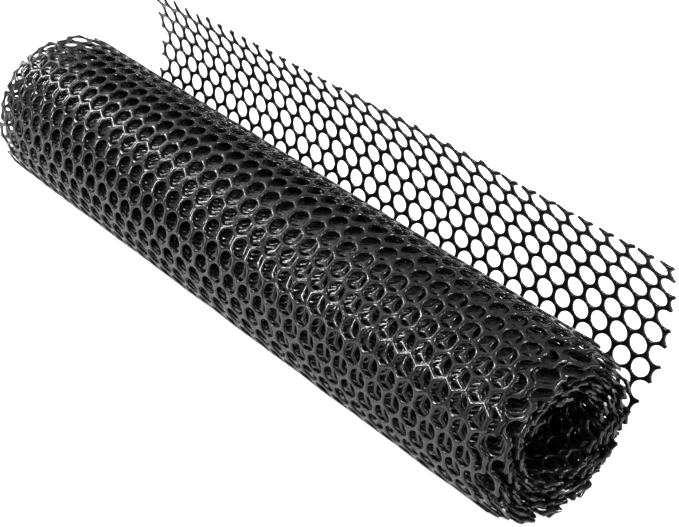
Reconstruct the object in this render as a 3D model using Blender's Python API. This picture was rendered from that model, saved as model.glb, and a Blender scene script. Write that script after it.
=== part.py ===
"""Roll of black plastic mesh fencing, loosely wound, with its loose end standing up behind it.

One sheet of moulded honeycomb net is wound into a hollow roll that lies on the floor, and its last hand's
width has sprung away from the roll and curls back over it. The net is one piece of plastic, with no core,
tie or label. It is built here as two solids: the wound roll, whose turns are one body, and the loose end,
an open net.

Frame: metres, +Z up, the floor at z = 0. The roll's axis runs along Y, and the loose end stands on its +X
side. Angles are measured round the axis from +X towards +Z. The sheet winds outwards in that direction.
"""

import bpy
import numpy as np

# The sheet
NET_WIDTH = 0.400
NET_THICKNESS = 0.0013
TURN_SPACING = 0.0019
TURNS = 13

# The roll
ROLL_RADIUS = 0.048
ROLL_TAPER = 0.0026
AXIS_X = -0.0067
FLAT_DEPTH = 0.0009
BORE_RADIUS = ROLL_RADIUS - TURNS * TURN_SPACING
INNER_EDGE_ANGLE = np.radians(160.0)

# How far the turns have slipped along the axis. The last turn was wound askew: shares of a turn back from where
# the loose end leaves, and the slip there. The turns within follow, outermost first: how many, and their slip
LAST_TURN_SLIPS = (
    (0.00, -0.0110),
    (0.33, 0.0110),
    (0.80, 0.0110),
    (1.00, 0.0052),
)
INNER_TURN_SLIPS = (
    (1, -0.0007),
    (2, -0.0065),
    (9, -0.0020),
)

# The waves that loose turns make round the roll: height, number round it, start, and drift per metre along it
SLACK_WAVES = (
    (0.0005, 2, 1.1, 9.0),
    (0.0003, 5, 0.0, -14.0),
)

# The loose end: where it leaves the roll, its length from there, and its curl at its root and at its tip
LEAVE_ANGLE = np.radians(-31.3)
LOOSE_LENGTH = 0.1035
CUT_SLANT = 0.0060
ROOT_CURL_RADIUS = 0.168
TIP_CURL_RADIUS = 0.080
ROOT_GAP = 0.0006
LOOSE_SLIP = -0.0110

# The loose end's cells, a little larger than the real ones, which are 11.6 mm wide, so that they stay few
CELL_ROWS = 9
STRAND_WIDTH = 0.0021

# How finely the roll is divided
SEGMENTS_AROUND = 72
STATIONS_ALONG = 9
STEP_HALF_ANGLE = np.radians(0.4)


def clear_scene():
    for obj in list(bpy.data.objects):
        bpy.data.objects.remove(obj, do_unlink=True)


def black_plastic():
    """Glossy black polyethylene, as it comes from the mould."""
    material = bpy.data.materials.new("black_polyethylene")
    material.use_nodes = True
    shader = material.node_tree.nodes["Principled BSDF"]
    shader.inputs["Base Color"].default_value = (0.018, 0.018, 0.019, 1.0)
    shader.inputs["Roughness"].default_value = 0.34
    shader.inputs["Metallic"].default_value = 0.0
    return material


def mesh_object(name, points, faces, material):
    mesh = bpy.data.meshes.new(name)
    mesh.from_pydata(points.tolist(), [], faces)
    mesh.validate()
    mesh.materials.append(material)
    obj = bpy.data.objects.new(name, mesh)
    bpy.context.scene.collection.objects.link(obj)
    return obj


def radius_at(y):
    """The roll's outer radius, which grows evenly towards the far end, where it is wound more loosely."""
    return ROLL_RADIUS + ROLL_TAPER * y / NET_WIDTH


def axis_height(y):
    """The axis's height, from which the underside would reach below the floor by the flat's depth."""
    return radius_at(y) - FLAT_DEPTH


def slack(angle, y):
    """The unevenness of loose turns: low waves round the roll, which wander along its length.

    The roll's weight closes its turns up below, so the waves fade out towards the underside.
    """
    waves = [height * np.sin(count * angle + start + drift * y) for height, count, start, drift in SLACK_WAVES]
    return sum(waves) * (1 + np.sin(angle)) / 2


def share_of_turn(angle, start):
    """How far round the roll an angle lies from a start, from 0 just past it to 1 just before it."""
    return ((angle - start) % (2 * np.pi)) / (2 * np.pi)


def around_axis(angle, radius, y):
    """The point at an angle and radius round the axis, pressed level where it would lie below the floor."""
    x = AXIS_X + radius * np.cos(angle)
    z = axis_height(y) + radius * np.sin(angle)
    return np.stack([x, y, np.maximum(z, 0.0)], axis=-1)


def wall_section():
    """The wall's section as a closed chain: depth, from 0 at the bore to 1 outside, place along, and slip.

    Places run from -0.5 at the near end to 0.5 at the far end of the net's width. The slip is that of the
    chain point's turns, and is left out for the last turn, whose slip changes round the roll. Turns that
    have slipped apart leave a step in both end faces.
    """
    last_turn = np.nan
    counts = np.array([1] + [count for count, _ in INNER_TURN_SLIPS])
    slips = [last_turn] + [slip for _, slip in INNER_TURN_SLIPS]
    depths = 1 - np.cumsum(counts) / TURNS
    chain = [(1.0, place, last_turn) for place in np.linspace(-0.5, 0.5, STATIONS_ALONG)]
    for layer, depth in enumerate(depths[:-1]):
        chain += [(depth, 0.5, slips[layer]), (depth, 0.5, slips[layer + 1])]
    chain += [(0.0, 0.5, slips[-1]), (0.0, -0.5, slips[-1])]
    for layer in range(len(depths) - 2, -1, -1):
        chain += [(depths[layer], -0.5, slips[layer + 1]), (depths[layer], -0.5, slips[layer])]
    return np.array(chain)


def wound_roll(material):
    """The roll: the wall's section carried round the axis, stepped by one turn at each edge of the sheet."""
    even = (np.arange(SEGMENTS_AROUND) + 0.5) * 2 * np.pi / SEGMENTS_AROUND
    steps = np.array([LEAVE_ANGLE, INNER_EDGE_ANGLE]) % (2 * np.pi)
    apart = np.abs(even[:, None] - steps[None, :]).min(axis=1)
    beside_steps = np.concatenate([steps - STEP_HALF_ANGLE, steps + STEP_HALF_ANGLE])
    angles = np.sort(np.concatenate([even[apart > 4 * STEP_HALF_ANGLE], beside_steps]))
    depth, place, slip = wall_section().T
    angle, depth = np.meshgrid(angles, depth, indexing="ij")
    turns_back, last_slips = np.array(LAST_TURN_SLIPS).T
    last_slip = np.interp(1 - share_of_turn(angle, LEAVE_ANGLE), turns_back, last_slips)
    y = place * NET_WIDTH + np.where(np.isnan(slip), last_slip, slip)
    outside = radius_at(y) - TURN_SPACING * (1 - share_of_turn(angle, LEAVE_ANGLE))
    inside = BORE_RADIUS + TURN_SPACING * share_of_turn(angle, INNER_EDGE_ANGLE)
    radius = inside + (outside - inside) * depth + slack(angle, y)
    points = around_axis(angle, radius, y)
    across, along = angle.shape
    number = np.arange(across * along).reshape(across, along)
    after_angle = np.roll(number, -1, axis=0)
    corners = [number, np.roll(number, -1, axis=1), np.roll(after_angle, -1, axis=1), after_angle]
    faces = np.stack(corners, axis=-1).reshape(-1, 4)
    obj = mesh_object("wound_roll", points.reshape(-1, 3), faces.tolist(), material)
    obj.data.shade_smooth()
    obj.data.set_sharp_from_angle(angle=np.radians(35.0))
    return obj


def curl(length):
    """The loose end's side view: offsets along X and Z from its root, at lengths along it.

    Its direction starts along the roll's tangent and turns ever faster, from the root's curl to the tip's.
    """
    fine = np.linspace(0.0, LOOSE_LENGTH + CUT_SLANT, 400)
    root, tip = 1 / ROOT_CURL_RADIUS, 1 / TIP_CURL_RADIUS
    heading = LEAVE_ANGLE + np.pi / 2 + root * fine + (tip - root) * fine**2 / (2 * LOOSE_LENGTH)
    middle = (heading[1:] + heading[:-1]) / 2
    stride = fine[1] - fine[0]
    x = np.concatenate([[0.0], np.cumsum(np.cos(middle) * stride)])
    z = np.concatenate([[0.0], np.cumsum(np.sin(middle) * stride)])
    return np.interp(length, fine, x), np.interp(length, fine, z)


def on_loose_end(length, y):
    """The middle of the loose end's thickness, at a length from where it leaves the roll and a place along Y.

    Its free edge is cut aslant, so lengths grow evenly towards the near end.
    """
    x, z = curl(length * (1 - CUT_SLANT * y / (NET_WIDTH * LOOSE_LENGTH)))
    radius = radius_at(y) - TURN_SPACING / 2 + slack(LEAVE_ANGLE, y)
    return np.stack(
        [
            AXIS_X + radius * np.cos(LEAVE_ANGLE) + x,
            y,
            axis_height(y) + radius * np.sin(LEAVE_ANGLE) + z,
        ],
        axis=-1,
    )


def loose_end(material):
    """The loose end: a honeycomb of whole cells, a strand between each two and a node between each three.

    Cells stand in rows along Y, every other row half a cell over. A cell is a regular hexagon with two sides
    along the sheet's length. A strand joins two corners of one cell's hole to two of its neighbour's.
    """
    row_pitch = (LOOSE_LENGTH - ROOT_GAP - STRAND_WIDTH) / (CELL_ROWS + 1 / 3)
    cell_pitch = row_pitch * 2 / np.sqrt(3)
    cells_in_row = int(NET_WIDTH / cell_pitch)
    cell_pitch = (NET_WIDTH - STRAND_WIDTH) / (cells_in_row + 0.5)
    hole_scale = 1 - STRAND_WIDTH / cell_pitch
    corner_turns = np.radians(30.0 + 60.0 * np.arange(6))
    corner_y = np.cos(corner_turns) * cell_pitch / np.sqrt(3)
    corner_s = np.sin(corner_turns) * row_pitch * 2 / 3
    first_row = ROOT_GAP + STRAND_WIDTH / 2 + row_pitch * 2 / 3
    first_cell = LOOSE_SLIP - cell_pitch * (cells_in_row - 0.5) / 2

    def corners(row, cell):
        """The six corners of one hole, as numbers into the list of points."""
        centre_y = first_cell + cell_pitch * (cell + (row % 2) / 2)
        centre_s = first_row + row_pitch * row
        start = len(flat)
        flat.extend(zip(centre_s + corner_s * hole_scale, centre_y + corner_y * hole_scale))
        return [start + k for k in range(6)]

    flat = []
    holes = {}
    for row in range(-1, CELL_ROWS + 1):
        for cell in range(-1, cells_in_row + 1):
            holes[row, cell] = corners(row, cell)
    whole = {(row, cell) for row in range(CELL_ROWS) for cell in range(cells_in_row)}

    faces = []
    for row, cell in holes:
        odd = row % 2
        right = (row, cell + 1)
        upper_right = (row + 1, cell + odd)
        upper_left = (row + 1, cell - 1 + odd)
        here = holes[row, cell]
        if right in holes and whole & {(row, cell), right}:
            faces.append([here[0], here[5], holes[right][3], holes[right][2]])
        if upper_right in holes and whole & {(row, cell), upper_right}:
            faces.append([here[1], here[0], holes[upper_right][4], holes[upper_right][3]])
        if upper_left in holes and whole & {(row, cell), upper_left}:
            faces.append([here[2], here[1], holes[upper_left][5], holes[upper_left][4]])
        if right in holes and upper_right in holes and whole & {(row, cell), right, upper_right}:
            faces.append([here[0], holes[right][2], holes[upper_right][4]])
        both_above = upper_left in holes and upper_right in holes
        if both_above and whole & {(row, cell), upper_left, upper_right}:
            faces.append([here[1], holes[upper_right][3], holes[upper_left][5]])
    used = sorted({k for face in faces for k in face})
    renumber = {old: new for new, old in enumerate(used)}
    length, y = np.array(flat)[used].T
    faces = [[renumber[k] for k in face] for face in faces]
    obj = mesh_object("loose_end", on_loose_end(length, y), faces, material)
    thicken = obj.modifiers.new("thickness", "SOLIDIFY")
    thicken.thickness = NET_THICKNESS
    thicken.offset = 0.0
    return obj


clear_scene()
plastic = black_plastic()
wound_roll(plastic)
loose_end(plastic)
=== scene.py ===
"""The looks of a roll of black plastic mesh fencing: a honeycomb net, wound up, with its end loose."""

import bpy
import numpy as np
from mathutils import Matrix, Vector


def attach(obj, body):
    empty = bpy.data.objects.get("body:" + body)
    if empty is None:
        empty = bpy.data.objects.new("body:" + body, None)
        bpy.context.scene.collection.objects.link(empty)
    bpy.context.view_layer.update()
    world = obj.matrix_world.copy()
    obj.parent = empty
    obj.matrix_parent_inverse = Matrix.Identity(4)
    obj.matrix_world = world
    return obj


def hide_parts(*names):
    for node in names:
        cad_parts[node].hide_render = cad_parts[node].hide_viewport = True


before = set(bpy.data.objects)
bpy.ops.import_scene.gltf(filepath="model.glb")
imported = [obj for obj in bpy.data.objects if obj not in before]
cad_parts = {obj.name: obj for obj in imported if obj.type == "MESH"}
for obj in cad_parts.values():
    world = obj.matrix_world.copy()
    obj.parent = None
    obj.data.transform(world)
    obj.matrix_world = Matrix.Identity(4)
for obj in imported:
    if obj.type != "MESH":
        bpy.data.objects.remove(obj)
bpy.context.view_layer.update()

# The net
# One sheet of moulded polyethylene honeycomb, 0.4 m wide and just under 3 m long. Its cells are rounded
# hexagons in rows across the width. Strands part them, and three strands meet in each thicker knot.
NET_WIDTH = 0.400
CELL_WIDTH = 0.0116
ROW_PITCH = 0.849 * CELL_WIDTH
HOLE_APOTHEM = 0.00480
HOLE_SQUARENESS = 5.5
STRAND_THICKNESS = 0.00132
KNOT_THICKNESS = 0.00140

# How much of its thickness a strand and a knot keep beside a hole
STRAND_EDGE, KNOT_EDGE = 0.72, 0.96

# Where one cell lies on the sheet. Lengths count from where the sheet leaves the roll, positive towards
# its loose end. The distance across counts from the sheet's middle, positive towards the far end
FIRST_ROW_LENGTH = 0.06905
FIRST_CELL_ACROSS = -0.0003
CELLS_EACH_SIDE = 20

# How much the cells differ by chance: a share of a hole's size, and how far its middle is off
HOLE_SIZE_SPREAD = 0.012
HOLE_PLACE_SPREAD = 0.00007

# How the sheet is pulled out of true, along and across, by slow waves that cross at odd angles: height,
# radians per metre along and across the sheet, and start
WAVES_ALONG = ((0.00035, 71, 23, 1.3), (0.00018, -63, 190, 0.0))
WAVES_ACROSS = ((0.00040, 48, -31, 0.4), (0.00015, 157, 118, 0.0))

# The cuts. The net is cut straight through its cells, so its sides and its ends are rows of short stubs.
# Both side cuts lie a little further in or out where the net is wound than on the loose end, and the far
# one shifts once more under the last turn
NEAR_CUT = 0.2000
NEAR_CUT_WOUND = 0.1986
FAR_CUT = 0.1995
FAR_CUT_WOUND = 0.2040
FAR_CUT_INSIDE = 0.2093
NEAR_WOUND_START, FAR_WOUND_START, FAR_INSIDE_START = -0.01, 0.0, -0.25
CUT_SHIFT_LENGTH = 0.05
SIDE_CUT_WANDER = 0.0004
LOOSE_CUT_WANDER = 0.0007
INNER_CUT_WANDER = 0.001

# How much of its strand a stub keeps, at least and at most
SHORTEST_STUB, LONGEST_STUB = 0.22, 0.92


def hole_outline(turns):
    """A hole's radius at angles round it: a softened hexagon.

    The distance to each of the three pairs of sides is combined by a p-norm, with the squareness as p.
    """
    widths = [np.abs(np.cos(turns - np.radians(side))) ** HOLE_SQUARENESS for side in (0, 60, 120)]
    return HOLE_APOTHEM / sum(widths) ** (1 / HOLE_SQUARENESS)


def cell_middles(rows, cells):
    """The middle of each cell: rows one pitch apart along the sheet, every other one half a cell across."""
    length = FIRST_ROW_LENGTH + ROW_PITCH * rows
    across = FIRST_CELL_ACROSS + CELL_WIDTH * (cells + (rows % 2) / 2)
    return length, across


def waves_at(waves, length, across):
    """The height of a sum of sine waves at a place, each with its own step along and across."""
    return sum(
        height * np.sin(by_length * length + by_across * across + start)
        for height, by_length, by_across, start in waves
    )


def shifted(length, start):
    """How far a side cut has shifted, from 0 at a length to 1 a little further back on the sheet."""
    return np.clip((start - length) / CUT_SHIFT_LENGTH, 0, 1)


def side_margin(length, across):
    """How far a place lies inside the nearer of the two side cuts, which run a little askew of the cells."""
    wander = SIDE_CUT_WANDER * (np.sin(127 * length + 2.0) + 0.7 * np.sin(311 * length))
    far_cut = FAR_CUT + (FAR_CUT_WOUND - FAR_CUT) * shifted(length, FAR_WOUND_START)
    far_cut = far_cut + (FAR_CUT_INSIDE - FAR_CUT_WOUND) * shifted(length, FAR_INSIDE_START)
    near_cut = NEAR_CUT + (NEAR_CUT_WOUND - NEAR_CUT) * shifted(length, NEAR_WOUND_START)
    return np.minimum(near_cut + wander + across, far_cut + wander - across)


def loose_cut(across):
    """The length at which the loose end is cut, furthest out near the middle of the net."""
    places = (-0.200, -0.110, -0.045, 0.020, 0.110, 0.200)
    lengths = (0.1040, 0.1045, 0.1070, 0.1040, 0.1030, 0.1000)
    return np.interp(across, places, lengths) + LOOSE_CUT_WANDER * np.sin(410 * across)


def net_margin(length, across, inner_end):
    """How far a place lies inside the whole sheet's outline, in metres, and below zero outside it."""
    inner_margin = length - inner_end - INNER_CUT_WANDER * np.sin(230 * across)
    ends = np.minimum(loose_cut(across) - length, inner_margin)
    return np.minimum(side_margin(length, across), ends)


def neighbour(grid, odd, up, side):
    """The value of each cell's neighbour, up rows on (1, 0 or -1) and to its right (side 1) or left (-1).

    Odd rows stand half a cell to the right, so a step up or down and to the right stays in the same column
    from an even row, and goes one column on from an odd row.
    """
    if up == 0:
        return np.roll(grid, -side, axis=1)
    next_row = np.roll(grid, -up, axis=0)
    even_step, odd_step = (0, 1) if side > 0 else (-1, 0)
    even_rows = np.roll(next_row, -even_step, axis=1)
    odd_rows = np.roll(next_row, -odd_step, axis=1)
    return np.where(odd.reshape(odd.shape + (1,) * (grid.ndim - 2)), odd_rows, even_rows)


def net_mesh(name, first_row, last_row, inner_end, steps, profile, lay):
    """A strip of the net between the middles of two rows, as one closed skin round its strands and knots.

    Each cell has rings of points round its hole, one for each (setback, height) of the profile from the
    top face down to the bottom face, where a height of 1 is half the thickness. Each knot and each strand's
    middle has a point on the top face and one on the bottom face. A sixth of a cell belongs to each of the
    six knots round it, and is there if that knot is. A strand that lost one of its two knots ends in a
    cap, at the strip's own border or where the cut runs. steps is how many points a ring has for each of
    its six sides. lay puts (length, across, height) into space.
    """
    row_numbers = np.arange(first_row - 2, last_row + 3)
    cell_numbers = np.arange(-CELLS_EACH_SIDE, CELLS_EACH_SIDE + 1)
    rows, cells = np.meshgrid(row_numbers, cell_numbers, indexing="ij")
    odd = rows % 2 == 1
    length, across = cell_middles(rows, cells)

    # The knots: one on each cell's further corner and one on its nearer corner
    far_knot = np.stack([length + ROW_PITCH * 2 / 3, across], axis=-1)
    near_knot = np.stack([length - ROW_PITCH * 2 / 3, across], axis=-1)
    far_margin = net_margin(far_knot[..., 0], far_knot[..., 1], inner_end)
    near_margin = net_margin(near_knot[..., 0], near_knot[..., 1], inner_end)
    far_here = (far_margin > 0) & (rows >= first_row) & (rows < last_row)
    near_here = (near_margin > 0) & (rows > first_row) & (rows <= last_row)

    # The knots round each cell, by corner: 30, 90, 150, 210, 270 and 330 degrees
    def round_cell(far, near):
        return [
            neighbour(near, odd, 1, 1), far, neighbour(near, odd, 1, -1),
            neighbour(far, odd, -1, -1), near, neighbour(far, odd, -1, 1),
        ]

    here = round_cell(far_here, near_here)
    margin = round_cell(far_margin, near_margin)
    place = round_cell(far_knot, near_knot)

    # The strands to each cell's right, upper right and upper left, each between two of those corners. The
    # middle of a strand that lost one knot shifts to where the cut crosses it
    shift, strand_middle, cap_side = [], [], []
    for strand in range(3):
        before, after = (strand - 1) % 6, strand
        middle = (place[before] + place[after]) / 2
        run = place[after] - place[before]
        one_lost = (margin[before] > 0) != (margin[after] > 0)
        reach = np.abs(np.where(margin[before] > 0, margin[before], margin[after]))
        beyond = np.abs(np.where(margin[before] > 0, margin[after], margin[before]))
        share = np.clip(reach / np.maximum(reach + beyond, 1e-9), SHORTEST_STUB, LONGEST_STUB)
        outward = np.where(margin[before] > 0, 1.0, -1.0)
        shift.append(run * (np.where(one_lost, (share - 0.5) * outward, 0.0))[..., None])
        strand_middle.append(middle)
        cap_side.append(here[after].astype(int) - here[before].astype(int))
    all_shifts = shift + [
        neighbour(shift[0], odd, 0, -1),
        neighbour(shift[1], odd, -1, -1),
        neighbour(shift[2], odd, -1, 1),
    ]

    # The points
    count, around = len(profile), 6 * steps
    turns = np.arange(around) * 2 * np.pi / around
    outline = hole_outline(turns)
    setback = np.array([ring[0] for ring in profile])[:, None]
    height = np.array([ring[1] for ring in profile])[:, None]
    chance = np.random.default_rng(abs(first_row) * 2 + 11)
    swell = chance.normal(1.0, HOLE_SIZE_SPREAD, rows.shape)[..., None, None]
    nudge = chance.normal(0.0, HOLE_PLACE_SPREAD, rows.shape + (2,))
    radius = outline * swell + setback
    ring_length = (length + nudge[..., 0])[..., None, None] + radius * np.sin(turns)
    ring_across = (across + nudge[..., 1])[..., None, None] + radius * np.cos(turns)
    for side in range(6):
        ring_length[..., side * steps] += all_shifts[side][..., None, 0]
        ring_across[..., side * steps] += all_shifts[side][..., None, 1]
    knot_share = np.sin(3 * turns) ** 2
    strand_half, knot_half = STRAND_THICKNESS * STRAND_EDGE / 2, KNOT_THICKNESS * KNOT_EDGE / 2
    half = strand_half + (knot_half - strand_half) * knot_share
    ring_height = np.broadcast_to(height * half, ring_length.shape)
    knots = np.stack([far_knot, near_knot], axis=2)
    middles = np.stack([m + s for m, s in zip(strand_middle, shift)], axis=2)
    ridge = np.concatenate([knots, middles], axis=2)
    ridge_half = np.array([KNOT_THICKNESS] * 2 + [STRAND_THICKNESS] * 3) / 2
    ridge_height = np.stack([ridge_half, -ridge_half], axis=-1)
    points = np.concatenate(
        [
            np.stack([ring_length, ring_across, ring_height], axis=-1).reshape(-1, 3),
            np.stack(
                [
                    np.broadcast_to(ridge[..., None, 0], rows.shape + (5, 2)),
                    np.broadcast_to(ridge[..., None, 1], rows.shape + (5, 2)),
                    np.broadcast_to(ridge_height, rows.shape + (5, 2)),
                ],
                axis=-1,
            ).reshape(-1, 3),
        ]
    )
    ring_number = np.arange(rows.size * count * around).reshape(rows.shape + (count, around))
    ridge_number = rows.size * count * around + np.arange(rows.size * 10).reshape(rows.shape + (5, 2))

    # The faces of each sixth of a cell
    far_number, near_number = ridge_number[:, :, 0], ridge_number[:, :, 1]
    knot_number = round_cell(far_number, near_number)
    strand_number = [ridge_number[:, :, 2 + strand] for strand in range(3)]
    strand_number += [
        neighbour(strand_number[0], odd, 0, -1),
        neighbour(strand_number[1], odd, -1, -1),
        neighbour(strand_number[2], odd, -1, 1),
    ]
    faces = {3: [], 4: [], 2 * count + 2: []}
    for sixth in range(6):
        there = here[sixth]
        ring = ring_number[there]
        knot = knot_number[sixth][there]
        start, stop = strand_number[sixth][there], strand_number[(sixth + 1) % 6][there]
        step = [(sixth * steps + k) % around for k in range(steps + 1)]
        top, bottom = ring[:, 0], ring[:, -1]
        for a, b in zip(step[:-1], step[1:]):
            walls = [ring[:, :-1, a], ring[:, :-1, b], ring[:, 1:, b], ring[:, 1:, a]]
            faces[4].append(np.stack(walls, axis=-1).reshape(-1, 4))
        first, second, last_but_one, last = step[0], step[1], step[-2], step[-1]
        beside_ridges = [
            [start[:, 0], knot[:, 0], top[:, second], top[:, first]],
            [bottom[:, first], bottom[:, second], knot[:, 1], start[:, 1]],
            [knot[:, 0], stop[:, 0], top[:, last], top[:, last_but_one]],
            [bottom[:, last_but_one], bottom[:, last], stop[:, 1], knot[:, 1]],
        ]
        faces[4] += [np.stack(corners, axis=-1) for corners in beside_ridges]
        for a, b in zip(step[1:-2], step[2:-1]):
            faces[3].append(np.stack([knot[:, 0], top[:, b], top[:, a]], axis=-1))
            faces[3].append(np.stack([bottom[:, a], bottom[:, b], knot[:, 1]], axis=-1))

    # The caps, each between the rings of the two cells beside its strand
    across_strand = [neighbour(ring_number, odd, up, side) for up, side in ((0, 1), (1, 1), (1, -1))]
    capped = []
    for strand in range(3):
        for facing in (1, -1):
            there = cap_side[strand] == facing
            own = ring_number[there][:, :, strand * steps]
            other = across_strand[strand][there][:, :, (strand + 3) * steps]
            ends = strand_number[strand][there]
            cap = np.concatenate([ends[:, :1], own, ends[:, 1:], other[:, ::-1]], axis=1)
            faces[2 * count + 2].append(cap[:, ::facing])
            capped.append(cap.ravel())

    # The mesh, without the points that no face uses
    sizes = [size for size, group in faces.items() for part in group for _ in range(len(part))]
    corners = np.concatenate([part.ravel() for group in faces.values() for part in group])
    used, corners = np.unique(corners, return_inverse=True)
    is_capped = np.zeros(len(points), dtype=bool)
    is_capped[np.concatenate(capped)] = True
    is_capped = is_capped[used]
    starts = np.concatenate([[0], np.cumsum(sizes)[:-1]])
    mesh = bpy.data.meshes.new(name)
    mesh.vertices.add(len(used))
    mesh.vertices.foreach_set("co", lay(*points[used].T).astype(np.float32).ravel())
    mesh.loops.add(len(corners))
    mesh.loops.foreach_set("vertex_index", corners.astype(np.int32))
    mesh.polygons.add(len(starts))
    mesh.polygons.foreach_set("loop_start", starts.astype(np.int32))
    mesh.update(calc_edges=True)
    mesh.shade_smooth()
    ends = np.empty(2 * len(mesh.edges), dtype=np.int32)
    mesh.edges.foreach_get("vertices", ends)
    sharp = is_capped[ends.reshape(-1, 2)].all(axis=1)
    mesh.attributes.new("sharp_edge", "BOOLEAN", "EDGE").data.foreach_set("value", sharp)
    obj = bpy.data.objects.new(name, mesh)
    bpy.context.scene.collection.objects.link(obj)
    return obj


# The way the sheet lies
# The net is wound round nothing, so the roll is hollow. Its turns lie a little apart and have slipped
# along each other. The last hand's width has sprung off the roll and stands up behind it, curling back over.
TURN_SPACING = 0.0019
ROLL_RADIUS = 0.048
ROLL_TAPER = 0.0026
AXIS_X = -0.0067
FLAT_DEPTH = 0.0009
LEAVE_ANGLE = np.radians(-31.3)
LOOSE_LENGTH = 0.1035
ROOT_CURL_RADIUS = 0.168
TIP_CURL_RADIUS = 0.080
CURL_OVERRUN = 0.010
TURNS = 12.469

# Each turn takes one row of cells fewer than the one outside it, so that their holes lie over each other.
# The rows run a little askew of the roll, and are eased into place where the sheet leaves it
ROWS_ROUND = 28.85
EASE_ROWS = 0.60
EASE_LENGTH = 0.070
SKEW_ROWS = 1.38

# How far the sheet has slipped along the roll, by turns back from where it leaves it. The last turn was
# wound askew, by a little over one cell, and comes back on the roll's right, where the near end stands out.
# The next two have slipped by parts of a cell, so that their strands show in the last turn's holes, and
# the rest lie nearly flush
SLIPS = (
    (-0.050, -0.0097), (0.00, -0.0024), (0.08, -0.0030), (0.20, 0.0006), (0.33, 0.01217), (0.74, 0.01217),
    (1.02, -0.0012), (1.28, -0.0012), (1.42, 0.0014), (1.95, 0.0014), (2.10, -0.0022), (2.95, -0.0022),
    (3.10, 0.0003), (3.95, 0.0003), (4.15, -0.0030), (5.00, -0.0030), (5.20, -0.0004), (6.10, -0.0018),
    (7.00, 0.0002), (8.20, -0.0016), (9.40, 0.0010), (10.60, -0.0010), (12.50, 0.0004),
)

# Each turn under the last lies askew, nearest on one side of the roll and furthest on the other. The
# nearest side is so many degrees below the axis's level, and more of them for each metre along the roll.
# TILT_START is how much of this holds, by turns back
RIM_TILT = 0.0030
RIM_TILT_ANGLE, RIM_TILT_TWIST = 20, 85
TILT_START = ((0.80, 0.0), (1.05, 1.0))

# How the turns are pulled out of true along the roll: places along it, how far each pull reaches to both
# sides, and how far it goes. The last turn is pulled in three places. The turns under the outer two are
# pulled out at both ends. The shares say how much of each holds, by turns back
PULLS = (
    (-0.140, 0.090, -0.0042),
    (0.045, 0.045, 0.0008),
    (0.215, 0.045, -0.0042),
)
INNER_PULLS = ((-0.215, 0.045, -0.0040), (0.215, 0.045, 0.0028))
PULL_SHARE = ((0.10, 0.0), (0.33, 1.0), (0.85, 1.0), (1.10, 0.0))
INNER_PULL_SHARE = ((1.90, 0.0), (2.10, 1.0))

# The waves that loose turns make round the roll: height, number round it, start, and drift per metre
SLACK_WAVES = (
    (0.0005, 2, 1.1, 9.0),
    (0.0003, 5, 0.0, -14.0),
)

# The fine ripples of the wound sheet, which run askew and so differ from turn to turn, as in WAVES_ALONG
RIPPLES = ((0.00012, 260, 95, 0.0), (0.00010, -340, 174, 0.0))


def rows_wound(turns):
    """The rows of cells in that many turns back from where the sheet leaves the roll."""
    return ROWS_ROUND * turns - turns**2 / 2


def turns_back(length, y):
    """How many turns a length lies back from where the sheet leaves the roll, by undoing rows_wound.

    The rows run askew, so each lies a little further round the roll at its far side.
    """
    ease = np.clip(-length / EASE_LENGTH, 0, 1)
    ease = ease * ease * (3 - 2 * ease)
    rows = np.maximum(-length / ROW_PITCH + (EASE_ROWS + SKEW_ROWS * y) * ease, 0.0)
    return ROWS_ROUND - np.sqrt(ROWS_ROUND**2 - 2 * rows)


def eased(place, steps):
    """The level at a place among steps of (place, level), joined by slopes that start and end level.

    Between two steps the share of the way is smoothed by 3 times its square less 2 times its cube.
    """
    places, levels = np.array(steps).T
    after = np.clip(np.searchsorted(places, place), 1, len(places) - 1)
    share = np.clip((place - places[after - 1]) / (places[after] - places[after - 1]), 0, 1)
    return levels[after - 1] + (levels[after] - levels[after - 1]) * share * share * (3 - 2 * share)


def slack(angle, y):
    """The low waves of loose turns, which fade out towards the underside."""
    waves = sum(
        height * np.sin(count * angle + start + drift * y) for height, count, start, drift in SLACK_WAVES
    )
    return waves * (1 + np.sin(angle)) / 2


def pull(turns, y):
    """How far cells are pulled along the roll: a soft bell of (middle, width, reach) for each pull."""
    last, inner = [
        sum(reach * np.exp(-(((y - middle) / width) ** 2)) for middle, width, reach in pulls)
        for pulls in (PULLS, INNER_PULLS)
    ]
    return last * eased(turns, PULL_SHARE) + inner * eased(turns, INNER_PULL_SHARE)


def curl(length):
    """The loose end's side view from its root: heading, and offsets along X and Z.

    The curl grows evenly from the root's to the tip's, so the heading grows with the length and its square.
    """
    fine = np.linspace(0.0, LOOSE_LENGTH + CURL_OVERRUN, 500)
    root, tip = 1 / ROOT_CURL_RADIUS, 1 / TIP_CURL_RADIUS
    heading = LEAVE_ANGLE + np.pi / 2 + root * fine + (tip - root) * fine**2 / (2 * LOOSE_LENGTH)
    middle = (heading[1:] + heading[:-1]) / 2
    stride = fine[1] - fine[0]
    x = np.concatenate([[0.0], np.cumsum(np.cos(middle) * stride)])
    z = np.concatenate([[0.0], np.cumsum(np.sin(middle) * stride)])
    return np.interp(length, fine, heading), np.interp(length, fine, x), np.interp(length, fine, z)


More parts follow.
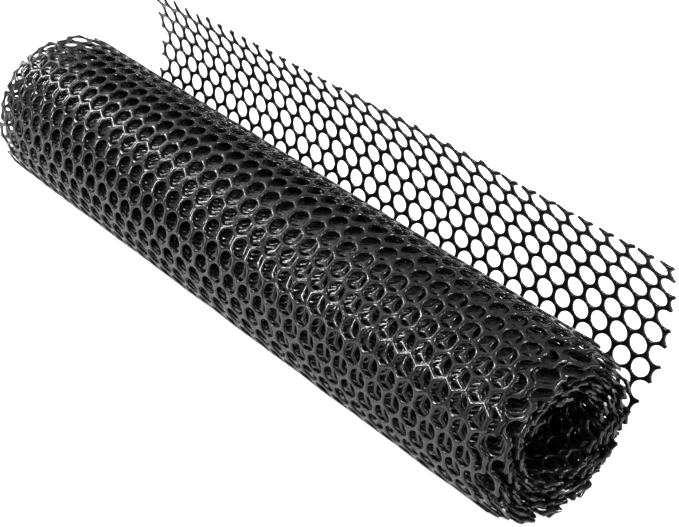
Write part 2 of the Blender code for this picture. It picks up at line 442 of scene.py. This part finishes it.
def lay_net(length, across, height):
    """The place in space of a point of the net, by its place on the flat sheet and its height above it.

    Back from where the sheet leaves the roll it winds inwards, one turn spacing for each turn. Beyond that
    it follows the loose end's curl. The underside is pressed level on the floor.
    """
    along, aside = waves_at(WAVES_ALONG, length, across), waves_at(WAVES_ACROSS, length, across)
    length, across = length + along, across + aside
    turns = turns_back(length, across)
    angle = LEAVE_ANGLE - 2 * np.pi * turns
    y = across + eased(turns - np.maximum(length, 0.0), SLIPS)
    tilt_angle = np.radians(RIM_TILT_ANGLE + RIM_TILT_TWIST * y)
    tilt = RIM_TILT * np.cos(angle + tilt_angle) * eased(turns, TILT_START)
    y = y + pull(turns, y) - tilt
    full_radius = ROLL_RADIUS + ROLL_TAPER * y / NET_WIDTH
    radius = full_radius - TURN_SPACING * (turns + 0.5) + slack(angle, y) + waves_at(RIPPLES, length, y)
    loose_heading, loose_x, loose_z = curl(np.maximum(length, 0.0))
    heading = np.where(length > 0, loose_heading, angle + np.pi / 2)
    x = AXIS_X + radius * np.cos(angle) + loose_x + height * np.sin(heading)
    z = full_radius - FLAT_DEPTH + radius * np.sin(angle) + loose_z - height * np.cos(heading)
    return np.stack([x, y, np.maximum(z, 0.0)], axis=-1)


# The wound turns
# The wound part of the sheet, some twelve and a half turns of the same black net. It is made of six strips
# that meet cell to cell: the inner turns in three, and each of the outer three turns in one.

# A strand's section: (setback from the hole's wall, height) for each point from the top face down. The
# deeper a strip lies in the roll, the more plainly it is drawn
ROUNDED = ((0.00042, 1.0), (0.00010, 0.72), (0.0, 0.0), (0.00010, -0.72), (0.00042, -1.0))
BEVELLED = ((0.00040, 0.96), (0.0, 0.4), (0.0, -0.4), (0.00040, -0.96))
LENS = ((0.00040, 0.92), (0.0, 0.0), (0.00040, -0.92))
PLAIN = ((0.00010, 0.85), (0.00010, -0.85))


def black_polyethylene(name):
    """Semi-gloss black polyethylene as it leaves the mould: slightly uneven gloss, a faint pebbled skin."""
    material = bpy.data.materials.new(name)
    material.use_nodes = True
    nodes, links = material.node_tree.nodes, material.node_tree.links
    shader = nodes["Principled BSDF"]
    shader.inputs["Base Color"].default_value = (0.006, 0.006, 0.0065, 1.0)
    shader.inputs["IOR"].default_value = 1.52
    place = nodes.new("ShaderNodeTexCoord")
    gloss = nodes.new("ShaderNodeTexNoise")
    gloss.inputs["Scale"].default_value = 140.0
    gloss.inputs["Detail"].default_value = 4.0
    spread = nodes.new("ShaderNodeMapRange")
    spread.inputs["From Min"].default_value = 0.3
    spread.inputs["From Max"].default_value = 0.7
    spread.inputs["To Min"].default_value = 0.10
    spread.inputs["To Max"].default_value = 0.22
    pebble = nodes.new("ShaderNodeTexNoise")
    pebble.inputs["Scale"].default_value = 700.0
    pebble.inputs["Detail"].default_value = 3.0
    bump = nodes.new("ShaderNodeBump")
    bump.inputs["Strength"].default_value = 0.25
    bump.inputs["Distance"].default_value = 0.0003
    links.new(place.outputs["Object"], gloss.inputs["Vector"])
    links.new(gloss.outputs["Fac"], spread.inputs["Value"])
    links.new(spread.outputs["Result"], shader.inputs["Roughness"])
    links.new(place.outputs["Object"], pebble.inputs["Vector"])
    links.new(pebble.outputs["Fac"], bump.inputs["Height"])
    links.new(bump.outputs["Normal"], shader.inputs["Normal"])
    return material


def row_at(length):
    """The row of cells whose middle lies nearest to a length."""
    return int(np.round((length - FIRST_ROW_LENGTH) / ROW_PITCH))


wound_black = black_polyethylene("wound_black_polyethylene")
inner_end = -ROW_PITCH * (rows_wound(TURNS) - EASE_ROWS)
turn_rows = [row_at(-ROW_PITCH * rows_wound(t)) for t in (0, 1, 2, 3)]
inner_rows = np.linspace(row_at(inner_end) - 1, turn_rows[3], 4).astype(int)
strips = [
    ("inner_turns", inner_rows[0], inner_rows[1], 2, PLAIN),
    ("middle_turns", inner_rows[1], inner_rows[2], 2, PLAIN),
    ("outer_turns", inner_rows[2], inner_rows[3], 2, PLAIN),
    ("third_last_turn", turn_rows[3], turn_rows[2], 2, LENS),
    ("second_last_turn", turn_rows[2], turn_rows[1], 2, BEVELLED),
    ("last_turn", turn_rows[1], turn_rows[0], 3, BEVELLED),
]
for name, first, last, steps, profile in strips:
    turn = net_mesh(name, int(first), int(last), inner_end, steps, profile, lay_net)
    turn.data.materials.append(wound_black)
    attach(turn, "root")
    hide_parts("wound_roll")

# The loose end
# The last rows of the same sheet, one layer thick, with light showing through. The knife that cut it to
# length went through a row of cells, and left a stub of each strand standing.
PAST_THE_CUT = 0.125
loose_black = black_polyethylene("loose_black_polyethylene")
loose = net_mesh("loose_end_net", turn_rows[0], row_at(PAST_THE_CUT), inner_end, 3, ROUNDED, lay_net)
loose.data.materials.append(loose_black)
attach(loose, "root")
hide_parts("loose_end")

# The stand
# A plain white studio floor that runs on out of sight, under a pale sky of even light. It glows a little,
# and more towards the camera, because the photo's floor shows no shadow.
FLOOR_HALF = 6.0
FLOOR_GLOW = 0.28
FLOOR_GLOW_SEEN = 0.78
floor_mesh = bpy.data.meshes.new("floor")
floor_corners = FLOOR_HALF * np.array([(-1, -1, 0), (1, -1, 0), (1, 1, 0), (-1, 1, 0)])
floor_mesh.from_pydata(floor_corners.tolist(), [], [(0, 1, 2, 3)])
floor = bpy.data.objects.new("floor", floor_mesh)
bpy.context.scene.collection.objects.link(floor)
floor_white = bpy.data.materials.new("floor_white")
floor_white.use_nodes = True
floor_nodes, floor_links = floor_white.node_tree.nodes, floor_white.node_tree.links
floor_shader = floor_nodes["Principled BSDF"]
floor_shader.inputs["Base Color"].default_value = (0.74, 0.74, 0.74, 1.0)
floor_shader.inputs["Roughness"].default_value = 0.7
floor_shader.inputs["Emission Color"].default_value = (1.0, 1.0, 1.0, 1.0)
floor_ray = floor_nodes.new("ShaderNodeLightPath")
floor_glow = floor_nodes.new("ShaderNodeMapRange")
floor_glow.inputs["To Min"].default_value = FLOOR_GLOW
floor_glow.inputs["To Max"].default_value = FLOOR_GLOW_SEEN
floor_links.new(floor_ray.outputs["Is Camera Ray"], floor_glow.inputs["Value"])
floor_links.new(floor_glow.outputs["Result"], floor_shader.inputs["Emission Strength"])
floor_mesh.materials.append(floor_white)

sky = bpy.data.worlds.new("studio")
sky.use_nodes = True
sky.node_tree.nodes["Background"].inputs["Color"].default_value = (1.0, 1.0, 1.0, 1.0)
sky.node_tree.nodes["Background"].inputs["Strength"].default_value = 0.42
bpy.context.scene.world = sky

# The lamps
# A wide soft box hangs high beyond the roll's far end. Small ones give the glints: two on the streak along
# the roll's upper left, one along its top, and three on the near end, from its right, left and front.


def soft_box(name, place, aim, wide, deep, watts):
    """A studio soft box: an oblong of even light that faces a point."""
    lamp = bpy.data.lights.new(name, "AREA")
    lamp.shape = "RECTANGLE"
    lamp.size, lamp.size_y = wide, deep
    lamp.energy = watts
    obj = bpy.data.objects.new(name, lamp)
    bpy.context.scene.collection.objects.link(obj)
    obj.location = place
    obj.rotation_mode = "QUATERNION"
    obj.rotation_quaternion = (Vector(aim) - Vector(place)).to_track_quat("-Z", "Y")


soft_box("top_light", (-0.30, 1.00, 1.10), (0.0, 0.0, 0.05), 1.6, 1.0, 4.9)
soft_box("left_light", (-0.82, 0.37, 0.54), (0.0, -0.08, 0.05), 0.16, 0.16, 4.5)
soft_box("streak_light", (-0.62, 1.50, 1.14), (0.0, -0.15, 0.05), 0.26, 0.26, 12.0)
soft_box("back_light", (-0.14, 1.56, 1.28), (0.0, 0.0, 0.05), 0.25, 0.25, 4.0)
soft_box("near_light", (0.50, -0.60, 1.60), (0.0, 0.0, 0.05), 0.22, 0.22, 23.0)
soft_box("front_light", (-1.10, -0.60, 1.40), (0.0, 0.0, 0.05), 0.20, 0.20, 4.0)
soft_box("end_light", (0.05, -1.15, 0.50), (0.0, -0.20, 0.05), 0.25, 0.25, 5.0)

# The camera
# It stands before the roll's near end, to its left and above it, and looks down along it.
CAMERA_PLACE = Vector((-0.3798, -0.4755, 0.4547))
CAMERA_AZIMUTH = 0.720
CAMERA_DIP = 0.605
CAMERA_LENS = 71.6
camera_data = bpy.data.cameras.new("camera")
camera_data.sensor_width = 36.0
camera_data.lens = CAMERA_LENS
camera = bpy.data.objects.new("camera", camera_data)
bpy.context.scene.collection.objects.link(camera)
camera.location = CAMERA_PLACE
looking = Vector(
    (
        np.sin(CAMERA_AZIMUTH) * np.cos(CAMERA_DIP),
        np.cos(CAMERA_AZIMUTH) * np.cos(CAMERA_DIP),
        -np.sin(CAMERA_DIP),
    )
)
camera.rotation_mode = "QUATERNION"
camera.rotation_quaternion = looking.to_track_quat("-Z", "Y")
bpy.context.scene.camera = camera
bpy.context.scene.view_settings.view_transform = "Standard"
